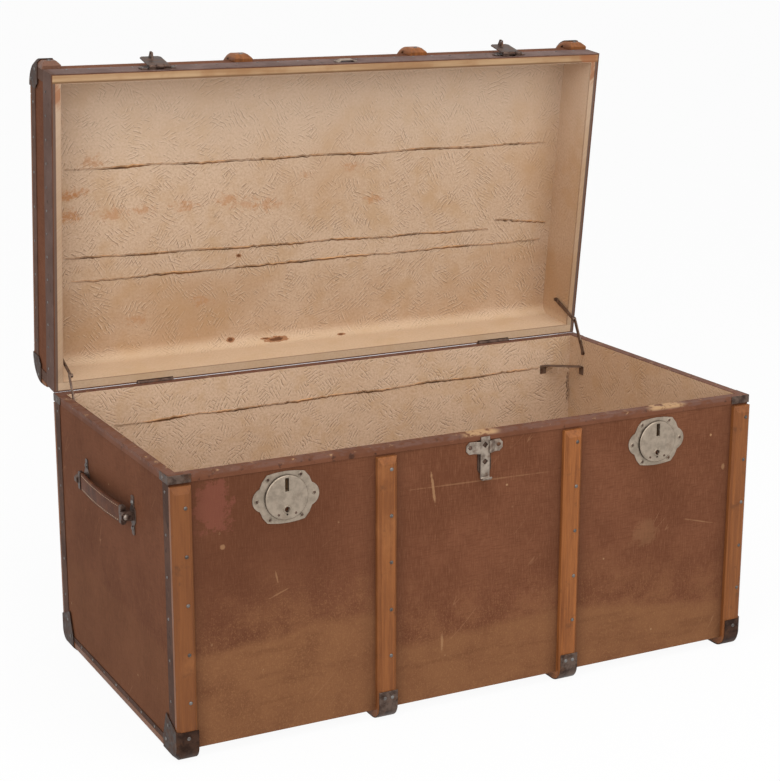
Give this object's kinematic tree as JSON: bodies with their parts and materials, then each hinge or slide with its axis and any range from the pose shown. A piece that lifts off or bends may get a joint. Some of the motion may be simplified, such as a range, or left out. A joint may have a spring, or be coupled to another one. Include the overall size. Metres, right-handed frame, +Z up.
{
  "type": "travelling trunk",
  "caption": "Canvas-covered travelling trunk with wooden slats, a round-shouldered lid on folding stays, hasp locks, a centre catch and leather end handles, shown open.",
  "frame": {"origin": "on the floor, under the middle of the box round the open trunk", "axes": "+X along the trunk to the right seen from the front, -Y towards the front with the locks, +Z up"},
  "size_m": [0.992, 0.6083, 0.926],
  "materials": {
    "pine": "bare, worn",
    "canvas": "painted, worn",
    "lining": "matte printed paper",
    "binding": "varnished fibre strip, worn",
    "slat": "varnished",
    "dark_metal": "lacquered, worn",
    "nickel": "dull nickel plate",
    "leather": "worn"
  },
  "bodies": {
    "base": {"base_front_board": "pine", "base_back_board": "pine", "base_left_board": "pine", "base_right_board": "pine", "base_bottom_board": "pine", "base_canvas": "canvas", "base_lining": "lining", "base_rim_binding": "binding", "base_end_bindings": "binding", "front_slats": "slat", "back_slats": "slat", "bottom_runners": "slat", "foot_caps": "dark_metal", "corner_caps": "dark_metal", "rim_brackets": "dark_metal", "lock_plates": "nickel", "lock_covers": "nickel", "catch_plate": "nickel", "catch_guide": "nickel", "handle_mounts": "dark_metal", "corner_bracket": "dark_metal", "hinge_leaves_base": "dark_metal", "stay_base_rivets": "dark_metal"},
    "lid": {"lid_front_board": "pine", "lid_back_board": "pine", "lid_left_board": "pine", "lid_right_board": "pine", "lid_top_board": "pine", "lid_front_shoulder": "pine", "lid_back_shoulder": "pine", "lid_canvas": "canvas", "lid_lining": "lining", "lid_rim_binding": "binding", "lid_end_bindings": "binding", "lid_front_slats": "slat", "lid_back_slats": "slat", "lid_top_slats": "slat", "lid_shoulder_caps": "dark_metal", "hinge_leaves_lid": "dark_metal", "stay_lid_rivets": "dark_metal", "hasp_plates": "dark_metal", "catch_keeper": "nickel"},
    "stay_lower_left": {"stay_lower_left": "dark_metal"},
    "stay_lower_right": {"stay_lower_right": "dark_metal"},
    "stay_upper_left": {"stay_upper_left": "dark_metal"},
    "stay_upper_right": {"stay_upper_right": "dark_metal"},
    "hasp_left": {"hasp_flap_left": "dark_metal"},
    "hasp_right": {"hasp_flap_right": "dark_metal"},
    "lock_bolt_left": {"lock_bolt_left": "nickel"},
    "lock_bolt_right": {"lock_bolt_right": "nickel"},
    "catch": {"catch_bolt": "nickel"},
    "handle_left": {"handle_strap_left": "leather", "handle_ends_left": "dark_metal"},
    "handle_right": {"handle_strap_right": "leather", "handle_ends_right": "dark_metal"}
  },
  "joints": [
    {"name": "lid_hinge", "type": "hinge", "parent": "base", "child": "lid", "pos_m": [0, 0.1965, 0.41075], "axis": [1, 0, 0], "range_deg": [0, 83.5]},
    {"name": "stay_lower_left_pivot", "type": "hinge", "parent": "base", "child": "stay_lower_left", "pos_m": [-0.4584, 0.1383, 0.38664], "axis": [1, 0, 0], "range_deg": [0, 83.5]},
    {"name": "stay_upper_left_pivot", "type": "hinge", "parent": "lid", "child": "stay_upper_left", "pos_m": [-0.4584, 0.22598, 0.46643], "axis": [1, 0, 0], "range_deg": [-83.5, 0]},
    {"name": "stay_lower_right_pivot", "type": "hinge", "parent": "base", "child": "stay_lower_right", "pos_m": [0.4584, 0.1383, 0.38664], "axis": [1, 0, 0], "range_deg": [0, 83.5]},
    {"name": "stay_upper_right_pivot", "type": "hinge", "parent": "lid", "child": "stay_upper_right", "pos_m": [0.4584, 0.22598, 0.46643], "axis": [1, 0, 0], "range_deg": [-83.5, 0]},
    {"name": "hasp_left_hinge", "type": "hinge", "parent": "lid", "child": "hasp_left", "pos_m": [-0.306, 0.14386, 0.90587], "axis": [1, 0, 0], "range_deg": [0, 172]},
    {"name": "hasp_right_hinge", "type": "hinge", "parent": "lid", "child": "hasp_right", "pos_m": [0.306, 0.14386, 0.90587], "axis": [1, 0, 0], "range_deg": [0, 172]},
    {"name": "lock_bolt_left_slide", "type": "slide", "parent": "base", "child": "lock_bolt_left", "axis": [-1, 0, 0], "range_m": [0, 0.01]},
    {"name": "lock_bolt_right_slide", "type": "slide", "parent": "base", "child": "lock_bolt_right", "axis": [-1, 0, 0], "range_m": [0, 0.01]},
    {"name": "catch_slide", "type": "slide", "parent": "base", "child": "catch", "axis": [0, 0, 1], "range_m": [0, 0.028]},
    {"name": "handle_left_swing", "type": "hinge", "parent": "base", "child": "handle_left", "pos_m": [-0.487, -0.05, 0.314], "axis": [0, 1, 0], "range_deg": [-45, 45]},
    {"name": "handle_right_swing", "type": "hinge", "parent": "base", "child": "handle_right", "pos_m": [0.487, -0.05, 0.314], "axis": [0, -1, 0], "range_deg": [-45, 45]}
  ],
  "couplings": [
    {"joint": "stay_lower_left_pivot", "follows": "lid_hinge", "ratio": 1},
    {"joint": "stay_upper_left_pivot", "follows": "lid_hinge", "ratio": -1},
    {"joint": "stay_lower_right_pivot", "follows": "lid_hinge", "ratio": 1},
    {"joint": "stay_upper_right_pivot", "follows": "lid_hinge", "ratio": -1}
  ]
}
